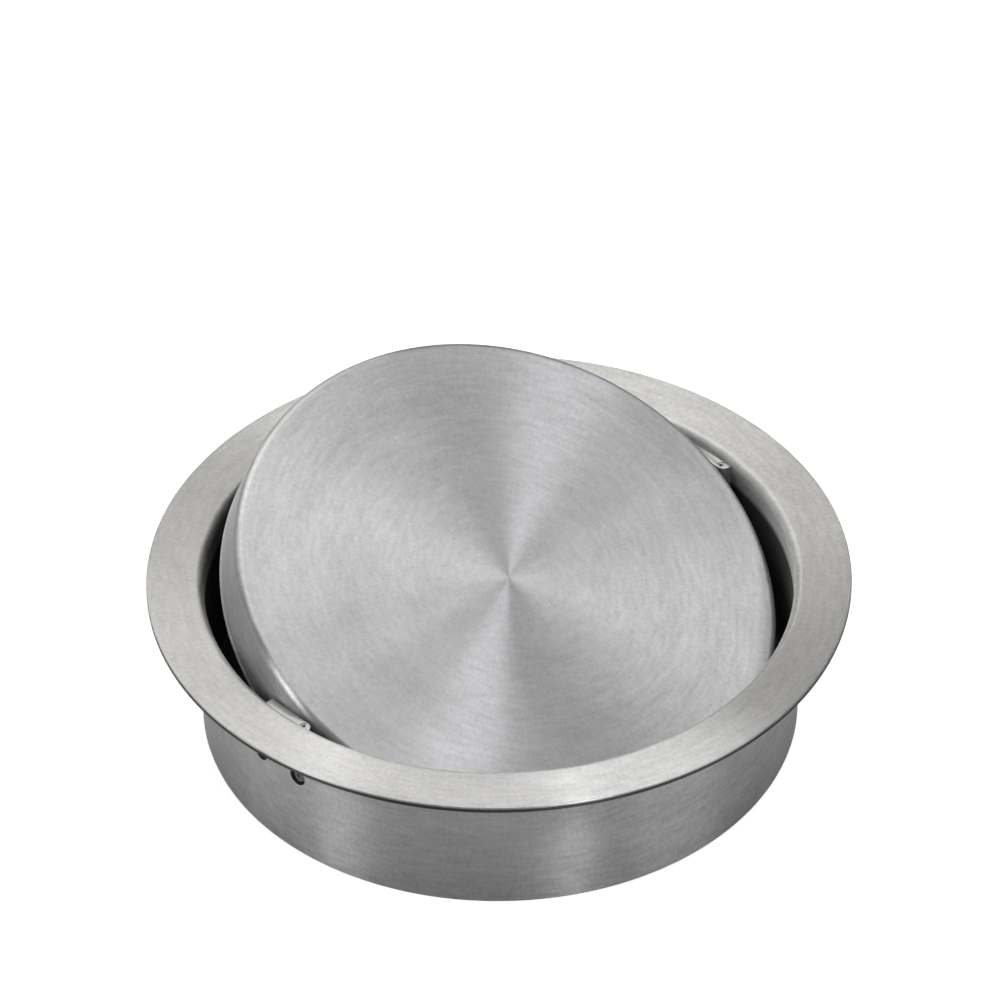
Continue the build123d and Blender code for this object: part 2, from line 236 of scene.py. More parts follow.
class Effects:
    """The shader node groups that the finishes share, each built once."""

    # Each layer of turned lines: its output, its pitch and length against the finest, and its detail.
    LAYERS = (("Lines", 1.0, 1.0, 3.0), ("Bands", 7.0, 5.0, 2.0), ("Fleck", 1.0, 0.12, 1.0))

    def __init__(self) -> None:
        """Builds every group."""
        self.turned_grain = self._turned_grain()
        self.edge_wear = self._edge_wear()
        self.handling = self._handling()
        self.fine_grit = self._fine_grit()

    @classmethod
    def _turned_grain(cls) -> NodeTree:
        """Fine broken lines that run round a spun surface, from its turn (U) and its run (V).

        Returns:
            The shader node group.
        """
        takes = {
            "UV": (VECTOR, None),
            "Lines per mm": (FLOAT, 5.0),
            "Breaks per Turn": (FLOAT, 60.0),
            "Offset": (FLOAT, 0.0),
        }
        gives = {"Lines": FLOAT, "Bands": FLOAT, "Fleck": FLOAT}
        tree, bench, source, result = new_group("turned_grain", "ShaderNodeTree", takes, gives)
        parts = bench.add("ShaderNodeSeparateXYZ", source.outputs["UV"])
        angle = bench.times(parts.outputs[0], TURN)
        across = bench.maths("COSINE", angle)
        along = bench.maths("SINE", angle)
        run = bench.maths("MULTIPLY_ADD", parts.outputs[1], 1 / MM, source.outputs["Offset"])
        reach = bench.maths("DIVIDE", source.outputs["Breaks per Turn"], TURN)
        for label, coarser, longer, detail in cls.LAYERS:
            radius = bench.maths("DIVIDE", reach, longer)
            pitch = bench.maths("DIVIDE", source.outputs["Lines per mm"], coarser)
            place = bench.vector(
                bench.times(across, radius),
                bench.times(along, radius),
                bench.times(run, pitch),
            )
            bench.feed(result.inputs[label], bench.noise(place, 1.0, detail, 0.6))
        return tree

    @staticmethod
    def _edge_wear() -> NodeTree:
        """A mask of rubbed edges, patchy along their length, from how sharp the surface turns.

        Returns:
            The shader node group.
        """
        takes = {"Edge": (FLOAT, 0.0), "Place": (VECTOR, None), "Patches per m": (FLOAT, 900.0)}
        tree, bench, source, result = new_group("edge_wear", "ShaderNodeTree", takes, {"Worn": FLOAT})
        patch = bench.noise(source.outputs["Place"], source.outputs["Patches per m"], 3.0, 0.6)
        share = bench.ramp(patch, 0.3, 0.65, 0.35)
        bench.feed(result.inputs["Worn"], bench.times(source.outputs["Edge"], share))
        return tree

    @staticmethod
    def _handling() -> NodeTree:
        """Soft-edged marks that fingers leave, as a mask and a finer mottle inside it.

        Returns:
            The shader node group.
        """
        takes = {"Place": (VECTOR, None), "Marks per m": (FLOAT, 60.0)}
        gives = {"Smudge": FLOAT, "Mottle": FLOAT}
        tree, bench, source, result = new_group("handling", "ShaderNodeTree", takes, gives)
        soft = bench.noise(source.outputs["Place"], source.outputs["Marks per m"], 2.0, 0.55)
        finer = bench.times(source.outputs["Marks per m"], 9.0)
        bench.feed(result.inputs["Smudge"], bench.ramp(soft, 0.45, 0.75))
        bench.feed(result.inputs["Mottle"], bench.noise(source.outputs["Place"], finer, 4.0, 0.65))
        return tree

    @staticmethod
    def _fine_grit() -> NodeTree:
        """Even fine grit over a surface, as a height and a light and dark speckle.

        Returns:
            The shader node group.
        """
        takes = {"Place": (VECTOR, None), "Grains per m": (FLOAT, 4000.0)}
        gives = {"Height": FLOAT, "Speckle": FLOAT}
        tree, bench, source, result = new_group("fine_grit", "ShaderNodeTree", takes, gives)
        grain = bench.noise(source.outputs["Place"], source.outputs["Grains per m"], 2.0, 0.7)
        bench.feed(result.inputs["Height"], grain)
        bench.feed(result.inputs["Speckle"], bench.ramp(grain, 0.3, 0.7))
        return tree


class MaterialBench(NodeBench):
    """A bench on a new material that has one Principled shader."""

    def __init__(self, name: str) -> None:
        """Makes the material and its shader.

        Args:
            name: The material's name.
        """
        self.material = bpy.data.materials.new(name)
        self.material.use_nodes = True
        super().__init__(self.material.node_tree)
        self.shader = self.tree.nodes["Principled BSDF"]
        self.shader.location = (1900, 0)
        self.tree.nodes["Material Output"].location = (2300, 0)

    def group(self, tree: NodeTree, **named: Feed) -> bpy.types.NodeOutputs:
        """Places a shared effect with its own values and gives its outputs."""
        node = self.add("ShaderNodeGroup", node_tree=tree)
        return self.feeds(node, **named).outputs

    def bump(self, height: Feed, depth: float) -> NodeSocket:
        """The normal of a surface raised by a height from 0 to 1, times a depth in metres."""
        return self.feeds(self.add("ShaderNodeBump"), Strength=1.0, Distance=depth, Height=height).outputs[0]

    def tone(self, base: Sequence[float], factor: Feed) -> NodeSocket:
        """A colour multiplied by a factor that changes over the surface.

        Args:
            base: The colour.
            factor: What it is multiplied by.

        Returns:
            The new colour.
        """
        scaled = self.add("ShaderNodeVectorMath", tuple(base), operation="SCALE")
        self.feed(scaled.inputs["Scale"], factor)
        return scaled.outputs[0]


@dataclass(frozen=True)
class BrushedSteel:
    """Stainless sheet brushed in rings about its own axis."""

    name: str
    tint: tuple[float, float, float] = (0.60, 0.60, 0.605)
    roughness: float = 0.365
    anisotropy: float = 0.98
    lines_per_mm: float = 1.5
    breaks_per_turn: float = 60.0
    contrast: float = 0.6
    speckle: float = 0.1
    edge_shine: float = 0.16
    edge_polish: float = -0.08
    line_roughness: float = 0.12
    dull_roughness: float = 0.2
    smudge_roughness: float = 0.03
    mottle_roughness: float = 0.02
    groove: float = 0.004 * MM

    def build(self, effects: Effects) -> Material:
        """Makes the material from the shared effects.

        Args:
            effects: The shared node groups.

        Returns:
            The finished material.
        """
        bench = MaterialBench(self.name)
        place = bench.add("ShaderNodeTexCoord").outputs["Object"]
        uv = bench.add("ShaderNodeUVMap", uv_map=UV_NAME).outputs[0]
        grain = bench.group(
            effects.turned_grain, UV=uv, Lines_per_mm=self.lines_per_mm, Breaks_per_Turn=self.breaks_per_turn
        )
        edge = bench.add("ShaderNodeAttribute", attribute_name="worn").outputs["Fac"]
        worn = bench.group(effects.edge_wear, Edge=edge, Place=place)["Worn"]
        marks = bench.group(effects.handling, Place=place, Marks_per_m=45.0)
        grit = bench.group(effects.fine_grit, Place=place, Grains_per_m=5200.0)
        # Painted shade: this attribute darkens the sheet's colour inside the tube, on the flange's rim,
        # under the flange, in the screw head's hole and under the lid; it also roughens the sheet.
        dull = bench.add("ShaderNodeAttribute", attribute_name="dull").outputs["Fac"]
        lines = bench.minus(grain["Lines"], 0.5)
        tone = bench.summed(
            1.0,
            (lines, self.contrast),
            (bench.minus(grain["Bands"], 0.5), 0.5 * self.contrast),
            (bench.minus(grain["Fleck"], 0.5), 0.6 * self.contrast),
            (bench.minus(grit["Speckle"], 0.5), self.speckle),
            (worn, self.edge_shine),
        )
        rough = bench.summed(
            self.roughness,
            (lines, self.line_roughness),
            (dull, self.dull_roughness),
            (marks["Smudge"], self.smudge_roughness),
            (marks["Mottle"], self.mottle_roughness),
            (worn, self.edge_polish),
        )
        height = bench.summed(grain["Lines"], (grain["Fleck"], 0.5))
        bench.feeds(
            bench.shader,
            # Painted shade: the colour is darkened by the attribute read above.
            Base_Color=bench.tone(self.tint, bench.times(bench.minus(1.0, dull), tone)),
            Metallic=1.0,
            Roughness=rough,
            Anisotropic=self.anisotropy,
            Anisotropic_Rotation=0.25,
            Tangent=bench.add("ShaderNodeTangent", direction_type="UV_MAP", uv_map=UV_NAME).outputs[0],
            Normal=bench.bump(height, self.groove),
        )
        return bench.material


@dataclass(frozen=True)
class MachinedSteel:
    """Small steel pieces: turned, rolled or milled, with broken edges and a light oil film."""

    name: str
    tint: tuple[float, float, float] = (0.52, 0.52, 0.53)
    roughness: float = 0.3
    tool_marks_per_m: float = 900.0
    contrast: float = 0.25
    smudge: float = -0.12
    wear: float = 0.25
    tool_roughness: float = 0.12
    mottle_roughness: float = 0.05
    depth: float = 0.006 * MM

    def build(self, effects: Effects) -> Material:
        """Makes the material from the shared effects.

        Args:
            effects: The shared node groups.

        Returns:
            The finished material.
        """
        bench = MaterialBench(self.name)
        place = bench.add("ShaderNodeTexCoord").outputs["Object"]
        tool_marks = bench.noise(place, self.tool_marks_per_m, 3.0, 0.6)
        sharpness = bench.add("ShaderNodeNewGeometry").outputs["Pointiness"]
        edge = bench.ramp(sharpness, 0.52, 0.6)
        worn = bench.group(effects.edge_wear, Edge=edge, Place=place, Patches_per_m=2500.0)["Worn"]
        marks = bench.group(effects.handling, Place=place, Marks_per_m=300.0)
        grit = bench.group(effects.fine_grit, Place=place, Grains_per_m=9000.0)
        streaks = (bench.minus(tool_marks, 0.5), self.contrast)
        tone = bench.summed(1.0, streaks, (marks["Smudge"], self.smudge), (worn, self.wear))
        rough = bench.summed(
            self.roughness, (tool_marks, self.tool_roughness), (marks["Mottle"], self.mottle_roughness)
        )
        height = bench.summed(tool_marks, (grit["Height"], 0.3))
        bench.feeds(
            bench.shader,
            Base_Color=bench.tone(self.tint, tone),
            Metallic=1.0,
            Roughness=rough,
            Normal=bench.bump(height, self.depth),
        )
        return bench.material


@dataclass(frozen=True)
class MouldedPlastic:
    """Plain moulded bearing plastic with a fine spark-eroded skin."""

    name: str
    tint: tuple[float, float, float] = (0.72, 0.71, 0.67)
    roughness: float = 0.5
    speckle: float = 0.3
    mottle_roughness: float = 0.15
    skin: float = 0.008 * MM

    def build(self, effects: Effects) -> Material:
        """Makes the material from the shared effects.

        Args:
            effects: The shared node groups.

        Returns:
            The finished material.
        """
        bench = MaterialBench(self.name)
        place = bench.add("ShaderNodeTexCoord").outputs["Object"]
        grit = bench.group(effects.fine_grit, Place=place, Grains_per_m=7000.0)
        marks = bench.group(effects.handling, Place=place, Marks_per_m=400.0)
        tone = bench.summed(1.0 - self.speckle / 2, (grit["Speckle"], self.speckle))
        rough = bench.summed(self.roughness, (marks["Mottle"], self.mottle_roughness))
        bench.feeds(
            bench.shader,
            Base_Color=bench.tone(self.tint, tone),
            Roughness=rough,
            Normal=bench.bump(grit["Height"], self.skin),
        )
        return bench.material


RECIPES = (
    BrushedSteel("brushed_collar", tint=(0.575, 0.575, 0.57), breaks_per_turn=75.0),
    BrushedSteel("brushed_lid", tint=(0.525, 0.525, 0.53), roughness=0.345, breaks_per_turn=48.0),
    MachinedSteel("bracket_steel", tint=(0.52, 0.52, 0.51), roughness=0.4),
    MachinedSteel("spring_steel", tint=(0.3, 0.3, 0.31), roughness=0.32),
    MachinedSteel("screw_steel", roughness=0.24),
    MouldedPlastic("bush_plastic"),
    # Painted shade: a near-black finish for the pins' countersinks, standing in for the shadow in the gap
    # round each pin.
    MachinedSteel("drilled_seat", tint=(0.04, 0.04, 0.04), roughness=0.6),
)


@dataclass(frozen=True)
class Finishes:
    """The material of each slot in the record, and the near-black painted shade of the pins' countersinks in
    the collar's sheet.
    """

    materials: dict[str, Material]

    @classmethod
    def mixed(cls) -> "Finishes":
        """Makes every finish of the grommet."""
        effects = Effects()
        return cls({recipe.name: recipe.build(effects) for recipe in RECIPES})

    def of(self, name: str) -> Material:
        """The material of one finish."""
        return self.materials[name]


class Section:
    """Half of a turned piece's outline: (radius, height) points, with how worn each one is and how dull and
    darkened by painted shade.
    """

    def __init__(self, radius: float, height: float, dull: float = 0.0) -> None:
        """Starts the outline at one point.

        Args:
            radius: The first point's distance from the axis.
            height: Its height.
            dull: How unpolished it is, and how dark with painted shade, from 0 to 1.
        """
        self.points = [(radius, height)]
        self.worn = [0.0]
        self.dull = [dull]
        self.dullness = dull

    def dulled(self, dullness: float) -> "Section":
        """Sets how unpolished the outline is, and how dark with painted shade, from the next point on."""
        self.dullness = dullness
        return self

    def _add(self, radius: float, height: float, worn: float = 0.0) -> None:
        """Adds one point.

        Args:
            radius: The point's distance from the axis.
            height: Its height.
            worn: How worn it is, from 0 to 1.
        """
        self.points.append((radius, height))
        self.worn.append(worn)
        self.dull.append(self.dullness)

    def to(self, radius: float, height: float, pitch: float = 1.6 * MM) -> "Section":
        """Goes on straight to a point, in steps no longer than the pitch.

        Args:
            radius: The point's distance from the axis.
            height: Its height.
            pitch: The longest step.

        Returns:
            The same section.
        """
        start = self.points[-1]
        steps = max(1, math.ceil(math.dist(start, (radius, height)) / pitch))
        for step in range(1, steps + 1):
            share = step / steps
            self._add(start[0] + share * (radius - start[0]), start[1] + share * (height - start[1]))
        return self

    def turn(
        self, radius: float, height: float, degrees: float, steps: int = 8, wear: float = 1.0
    ) -> "Section":
        """Goes on along an arc.

        Args:
            radius: The centre's distance from the axis.
            height: The centre's height.
            degrees: How far to turn, positive from outwards to up.
            steps: The arc's number of pieces.
            wear: How worn the middle of the arc is.

        Returns:
            The same section.
        """
        start = (self.points[-1][0] - radius, self.points[-1][1] - height)
        size, first = math.hypot(*start), math.atan2(start[1], start[0])
        for step in range(1, steps + 1):
            angle = first + math.radians(degrees) * step / steps
            worn = wear * math.sin(math.pi * step / steps)
            self._add(radius + size * math.cos(angle), height + size * math.sin(angle), worn)
        return self

    def mesh(self, name: str) -> Mesh:
        """The outline's points as a mesh that carries their run along it, wear, and dullness with painted
        shade.

        Args:
            name: The mesh's name.

        Returns:
            The mesh, which has points and no faces.
        """
        mesh = bpy.data.meshes.new(name)
        mesh.from_pydata([(r, 0.0, z) for r, z in self.points], [], [])
        run = [0.0]
        for a, b in zip(self.points, self.points[1:]):
            run.append(run[-1] + math.dist(a, b))
        for label, values in (("run", run), ("worn", self.worn), ("dull", self.dull)):
            mesh.attributes.new(label, "FLOAT", "POINT").data.foreach_set("value", values)
        return mesh


class GeometryBench(NodeBench):
    """A bench on a new Geometry Nodes tree that ends in real, dressed geometry."""

    def __init__(self, name: str, takes: dict[str, tuple[str, object]]) -> None:
        """Makes the tree, whose inputs always include its geometry, place and material.

        Args:
            name: The tree's name.
            takes: Its further inputs, each with its socket type and default value.
        """
        common = {"Geometry": (GEOMETRY, None)}
        placing = {"Turn": (VECTOR, None), "Move": (VECTOR, None), "Material": (MATERIAL, None)}
        tree, _, self.source, self.result = new_group(
            name, "GeometryNodeTree", common | takes | placing, {"Geometry": GEOMETRY}
        )
        super().__init__(tree)

    def given(self, name: str) -> NodeSocket:
        """One of the tree's own inputs."""
        return self.source.outputs[name]

    def finish(self, geometry: NodeSocket) -> NodeTree:
        """Places the geometry, makes its instances real, dresses it and sends it out.

        Args:
            geometry: What the tree has made.

        Returns:
            The finished tree.
        """
        placed = self.add("GeometryNodeTransform")
        self.feeds(placed, Geometry=geometry, Rotation=self.given("Turn"), Translation=self.given("Move"))
        real = self.add("GeometryNodeRealizeInstances", placed.outputs[0])
        dressed = self.add("GeometryNodeSetMaterial")
        self.feeds(dressed, Geometry=real.outputs[0], Material=self.given("Material"))
        self.feed(self.result.inputs[0], dressed.outputs[0])
        return self.tree


class Shapers:
    """The Geometry Nodes trees that make the turned, threaded and rolled pieces."""

    def __init__(self) -> None:
        """Builds every tree once."""
        self.spin = self._spin()
        self.roll = self._roll()

    @staticmethod
    def _spin() -> NodeTree:
        """Spins a section's points once round the Z axis, with a thread cut in part of its height.

        Returns:
            The tree, which takes a section's mesh.
        """
        takes = {
            "Segments": (INTEGER, 64),
            "Thread Pitch": (FLOAT, 0.4 * MM),
            "Thread Depth": (FLOAT, 0.0),
            "Thread Start": (FLOAT, 0.0),
            "Thread End": (FLOAT, 0.0),
        }
        bench = GeometryBench("spun_section", takes)
        section = bench.given("Geometry")
        rows = bench.add("GeometryNodeAttributeDomainSize", section).outputs["Point Count"]
        columns = bench.maths("ADD", bench.given("Segments"), 1.0)
        grid = bench.add("GeometryNodeMeshGrid")
        bench.feeds(grid, Vertices_X=columns, Vertices_Y=rows)
        index = bench.add("GeometryNodeInputIndex").outputs[0]
        row = bench.maths("MODULO", index, rows)
        column = bench.maths("FLOOR", bench.maths("DIVIDE", index, rows))
        share = bench.maths("DIVIDE", column, bench.given("Segments"))
        angle = bench.times(share, TURN)
        place = bench.add("GeometryNodeSampleIndex", data_type="FLOAT_VECTOR")
        bench.feeds(place, Geometry=section, Index=row)
        bench.feed(place.inputs["Value"], bench.add("GeometryNodeInputPosition").outputs[0])
        part = bench.add("ShaderNodeSeparateXYZ", place.outputs[0])
        radius, height = part.outputs[0], part.outputs[2]
        phase = bench.minus(bench.maths("DIVIDE", height, bench.given("Thread Pitch")), share)
        crest = bench.maths("PINGPONG", phase, 0.5)
        inside = bench.times(
            bench.maths("GREATER_THAN", height, bench.given("Thread Start")),
            bench.maths("LESS_THAN", height, bench.given("Thread End")),
        )
        cut = bench.times(bench.times(crest, 2.0), bench.given("Thread Depth"))
        radius = bench.minus(radius, bench.times(cut, inside))
        ring = bench.vector(
            bench.times(radius, bench.maths("COSINE", angle)),
            bench.times(radius, bench.maths("SINE", angle)),
            height,
        )
        shape = bench.add("GeometryNodeSetPosition")
        bench.feeds(shape, Geometry=grid.outputs["Mesh"], Position=ring)
        made = shape.outputs[0]
        for label in ("run", "worn", "dull"):
            sampled = bench.add("GeometryNodeSampleIndex", data_type="FLOAT")
            bench.feeds(sampled, Geometry=section, Index=row)
            value = bench.add("GeometryNodeInputNamedAttribute", label, data_type="FLOAT").outputs[0]
            bench.feed(sampled.inputs["Value"], value)
            made = Shapers._stored(bench, made, label, sampled.outputs[0])
        made = Shapers._stored(bench, made, "share", share)
        uv = bench.vector(
            bench.add("GeometryNodeInputNamedAttribute", "share", data_type="FLOAT").outputs[0],
            bench.add("GeometryNodeInputNamedAttribute", "run", data_type="FLOAT").outputs[0],
            0.0,
        )
        made = Shapers._stored(bench, made, UV_NAME, uv, "FLOAT2", "CORNER")
        for label in ("run", "share"):
            made = bench.add("GeometryNodeRemoveAttribute", made, label).outputs[0]
        welded = bench.add("GeometryNodeMergeByDistance")
        bench.feeds(welded, Geometry=made, Distance=10 * WELD)
        return bench.finish(welded.outputs[0])

    @staticmethod
    def _stored(
        bench: NodeBench, geometry: Feed, name: str, value: Feed, kind: str = "FLOAT", domain: str = "POINT"
    ) -> NodeSocket:
        """Geometry that has a value stored on it under a name.

        Args:
            bench: The bench on the tree.
            geometry: What the value is stored on.
            name: The attribute's name.
            value: What it holds.
            kind: Blender's name of its data type.
            domain: What it belongs to, a point or a corner.

        Returns:
            The geometry with the attribute.
        """
        node = bench.add("GeometryNodeStoreNamedAttribute", data_type=kind, domain=domain)
        bench.feeds(node, Geometry=geometry, Name=name, Value=value)
        return node.outputs[0]

    @staticmethod
    def _roll() -> NodeTree:
        """Rolls a strip along the Z axis into coiled pins, one at each point of the given geometry.

        Returns:
            The tree, which takes one point for each pin.
        """
        takes = {
            "Outer Radius": (FLOAT, 1.0 * MM),
            "Inner Radius": (FLOAT, 0.3 * MM),
            "Sheet": (FLOAT, 0.2 * MM),
            "Length": (FLOAT, 2.0 * MM),
            "Turns": (FLOAT, 2.25),
            "Edge Break": (FLOAT, 0.03 * MM),
        }
        bench = GeometryBench("rolled_pin", takes)
        half = bench.times(bench.given("Sheet"), 0.5)
        spiral = bench.add("GeometryNodeCurveSpiral")
        bench.feeds(
            spiral,
            Resolution=40,
            Rotations=bench.given("Turns"),
            Start_Radius=bench.maths("ADD", bench.given("Inner Radius"), half),
            End_Radius=bench.minus(bench.given("Outer Radius"), half),
            Height=0.0,
        )
        upright = bench.add("GeometryNodeSetCurveNormal", spiral.outputs[0], mode="Z_UP")
        strip = bench.add("GeometryNodeCurvePrimitiveQuadrilateral")
        bench.feeds(strip, Width=bench.given("Sheet"), Height=bench.given("Length"))
        eased = bench.add("GeometryNodeFilletCurve", mode="POLY")
        bench.feeds(eased, Curve=strip.outputs[0], Radius=bench.given("Edge Break"), Count=2)
        swept = bench.add("GeometryNodeCurveToMesh")
        bench.feeds(swept, Curve=upright.outputs[0], Profile_Curve=eased.outputs[0], Fill_Caps=True)
        spots = bench.add("GeometryNodeInstanceOnPoints")
        bench.feeds(spots, Points=bench.given("Geometry"), Instance=swept.outputs[0])
        return bench.finish(spots.outputs[0])


@dataclass
class Workshop:
    """What every sub-assembly is made with: the finishes and the shaping trees."""

    finishes: Finishes
    shapers: Shapers
    made: list[str] = field(default_factory=list)

    def shaped(
        self, name: str, mesh: Mesh, tree: NodeTree, slot: str, **values: Feed
    ) -> Object:
        """Runs a shaping tree over a mesh and keeps the result as a plain mesh.

        Args:
            name: The new object's name.
            mesh: What the tree starts from.
            tree: The shaping tree.
            slot: The record slot that the piece takes its finish from.
            values: The tree's inputs, with underscores for spaces.

        Returns:
            The object, at the origin, with no modifier left.
        """
        rough = self._linked(name + ".blank", mesh)
        modifier = rough.modifiers.new("shape", "NODES")
        modifier.node_group = tree
        values["Material"] = self.finishes.of(slot)
        for item in tree.interface.items_tree:
            value = values.get(item.name.replace(" ", "_"))
            if item.in_out == "INPUT" and value is not None:
                modifier[item.identifier] = value
        return self._settled(rough, name)

    def spun(self, name: str, section: Section, slot: str, segments: int, **values: Feed) -> Object:
        """A piece spun about Z from a section, then turned and moved as the values say.

        Args:
            name: The piece's name.
            section: Its outline.
            slot: The record slot of its finish.
            segments: How many flats it has round.
            values: The spinning tree's further inputs.

        Returns:
            The piece.
        """
        mesh = section.mesh(name + ".section")
        return self.shaped(name, mesh, self.shapers.spin, slot, Segments=segments, **values)

    def cut(self, piece: Object, *cutters: Object) -> Object:
        """Takes the cutters out of a piece and deletes them.

        Args:
            piece: The piece, which the result takes the place of.
            cutters: The shapes to take out of it.

        Returns:
            The pierced piece.
        """
        name = piece.name
        piece.name = name + ".uncut"
        for cutter in cutters:
            modifier = piece.modifiers.new("hole", "BOOLEAN")
            modifier.object, modifier.solver, modifier.operation = cutter, "EXACT", "DIFFERENCE"
            modifier.material_mode = "TRANSFER"
        whole = self._settled(piece, name)
        for cutter in cutters:
            bpy.data.objects.remove(cutter)
        return whole

    def eased(self, node: str, name: str, slot: str, width: float) -> Object:
        """A copy of one of the frame's solids with its edges broken and its own finish.

        Args:
            node: The frame's node.
            name: The new object's name.
            slot: The record slot that the piece takes its finish from.
            width: How wide its broken edges are.

        Returns:
            The new object.
        """
        mesh = frame["nodes"][node].data.copy()
        work = bmesh.new()
        work.from_mesh(mesh)
        bmesh.ops.remove_doubles(work, verts=work.verts, dist=WELD)
        bmesh.ops.dissolve_limit(work, angle_limit=math.radians(1), verts=work.verts, edges=work.edges)
        work.to_mesh(mesh)
        work.free()
        mesh.materials.clear()
        mesh.materials.append(self.finishes.of(slot))
        rough = self._linked(name + ".blank", mesh)
        bevel = rough.modifiers.new("broken_edges", "BEVEL")
        bevel.width, bevel.segments, bevel.limit_method = width, 2, "ANGLE"
        bevel.angle_limit = SHARP_EDGE
        return self._settled(rough, name)

    def placed(self, piece: Object, body: Body, slot: str, *nodes: str) -> None:
        """Rides a finished piece on its body, says what it stands for, and reports it.

        Args:
            piece: The finished piece.
            body: The body it rides on.
            slot: Not used.
            nodes: The frame's nodes it stands for.
        """
        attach(piece, body.value)
        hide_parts(*nodes)
        self.made.append(piece.name)
        faces = len(piece.data.polygons)
        log.info("%s: %d faces, on %s, for %s", piece.name, faces, body.value, ", ".join(nodes))

    @staticmethod
    def _linked(name: str, mesh: Mesh) -> Object:
        """A new object in the scene.

        Args:
            name: The object's name.
            mesh: Its mesh.

        Returns:
            The new object.
        """
        obj = bpy.data.objects.new(name, mesh)
        bpy.context.scene.collection.objects.link(obj)
        return obj

    @classmethod
    def _settled(cls, rough: Object, name: str) -> Object:
        """Replaces an object and its modifiers by a plain, closed, outward-facing mesh.

        Args:
            rough: The object, which is removed.
            name: The new object's name.

        Returns:
            The new object.
        """
        graph = bpy.context.evaluated_depsgraph_get()
        mesh = bpy.data.meshes.new_from_object(rough.evaluated_get(graph), depsgraph=graph)
        bpy.data.objects.remove(rough)
        work = bmesh.new()
        work.from_mesh(mesh)
        bmesh.ops.remove_doubles(work, verts=work.verts, dist=WELD)
        bmesh.ops.recalc_face_normals(work, faces=work.faces)
        work.to_mesh(mesh)
        work.free()
        mesh.shade_smooth()
        mesh.set_sharp_from_angle(angle=SHARP_EDGE)
        mesh.name = name
        return cls._linked(name, mesh)


def size_of(node: str) -> Vector:
    """The three side lengths of a frame node's box."""
    low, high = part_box(node)
    return high - low


def lid_joint() -> dict:
    """The hinge between the collar and the lid."""
    return frame["joints"][0]


ALONG_X = (0.0, math.pi / 2, 0.0)


@dataclass(frozen=True)
class PinPattern:
    """Where each side's two coiled pins stand, measured from the pivot axis."""

    spacing: float = 7.2 * MM
    drop: float = 5.2 * MM
    radius: float = 1.0 * MM


@dataclass
class Collar:
    """The drawn collar: a tube with its top turned out into a flat flange, and its pierced holes."""

    shop: Workshop
    flange_radius: float
    tube_radius: float
    sheet: float
    foot: float
    pivot_height: float
    under_bend: float = 0.4 * MM
    rim_break: float = 0.14 * MM
    polish_end: float = 1.2 * MM
    dark_start: float = 3.4 * MM
    foot_break: float = 0.15 * MM
    head_hole: float = 2.1 * MM
    pins: PinPattern = PinPattern()
    countersink: float = 0.26 * MM
    # Painted shade: these darken the sheet's colour inside the tube, on the flange's rim, under the flange
    # and in the screw head's hole, and also roughen it.
    inside_dullness: float = 0.9
    rim_dullness: float = 0.8
    underside_dullness: float = 0.4
    head_hole_dullness: float = 0.6
    segments: int = 480
    slot: str = "brushed_collar"

    @classmethod
    def measured(cls, shop: Workshop) -> "Collar":
        """A collar with the frame's own sizes.

        Args:
            shop: The workshop that makes the piece.

        Returns:
            The collar.
        """
        _, flange_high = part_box("collar_flange")
        wall_low, wall_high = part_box("collar_wall")
        return cls(shop, flange_high.x, wall_high.x, flange_high.z, wall_low.z, lid_joint()["pos_m"][2])

    def section(self) -> Section:
        """The closed outline of the sheet, up the inside, over the flange and down the outside.

        Returns:
            The section, in the frame's heights.
        """
        inner = self.tube_radius - self.sheet
        bend = self.tube_radius + self.under_bend
        rim = self.flange_radius - self.rim_break
        foot = self.foot + self.foot_break
        # Painted shade: the inside wall below dark_start, the rim, and the flange's underside with its bend
        # are darkened.
        outline = Section(inner, foot, self.inside_dullness).to(inner, -self.dark_start)
        outline.dulled(0.0).to(inner, -self.polish_end).to(inner, -self.under_bend)
        outline.turn(bend, -self.under_bend, -90, 12, 0.8)
        outline.to(rim, self.sheet).turn(rim, self.sheet - self.rim_break, -90, 6, 0.2)
        outline.dulled(self.rim_dullness).to(self.flange_radius, self.sheet - 2 * self.rim_break)
        outline.to(self.flange_radius, self.rim_break).turn(rim, self.rim_break, -90, 6, 0.0)
        outline.dulled(self.underside_dullness).to(bend, 0.0)
        outline.turn(bend, -self.under_bend, 90, 6, 0.0).dulled(0.0)
        outline.to(self.tube_radius, foot).turn(self.tube_radius - self.foot_break, foot, -90)
        return outline.to(inner + self.foot_break, self.foot).turn(inner + self.foot_break, foot, -90)

    def punch(self, side: Side) -> list[Object]:
        """The cutters of one side's holes: the screw head's, and the pins' with their countersinks.

        Args:
            side: The side that the holes are in.

        Returns:
            The cutters.
        """
        quarter = (0.0, side.value * math.pi / 2, 0.0)
        inside = self.tube_radius - 2 * self.sheet
        outside = self.tube_radius + self.sheet
        # Painted shade: the walls of the screw head's hole are darkened.
        head = Section(0.0, inside, self.head_hole_dullness).to(self.head_hole, inside)
        head.to(self.head_hole, outside).to(0.0, outside)
        move = (0.0, 0.0, self.pivot_height)
        cutters = [self.shop.spun("head_punch", head, self.slot, 64, Turn=quarter, Move=move)]
        for end in (-1, 1):
            across, hole = end * self.pins.spacing / 2, self.pins.radius
            skin = math.sqrt(self.tube_radius**2 - across**2)
            pin = Section(0.0, inside).to(hole, inside).to(hole, skin - self.countersink)
            pin.to(hole + self.countersink + outside - skin, outside).to(0.0, outside)
            move = (0.0, across, self.pivot_height - self.pins.drop)
            # Painted shade: the countersinks take a near-black finish, standing in for the shadow round each
            # pin.
            cutters.append(self.shop.spun("pin_punch", pin, "drilled_seat", 48, Turn=quarter, Move=move))
        return cutters

    def build(self) -> None:
        """Spins the sheet, pierces it on both sides and puts it in place."""
        sheet = self.shop.spun("collar_sheet", self.section(), self.slot, self.segments)
        sheet = self.shop.cut(sheet, *self.punch(Side.RIGHT), *self.punch(Side.LEFT))
        self.shop.placed(sheet, Body.COLLAR, self.slot, "collar_flange", "collar_wall")


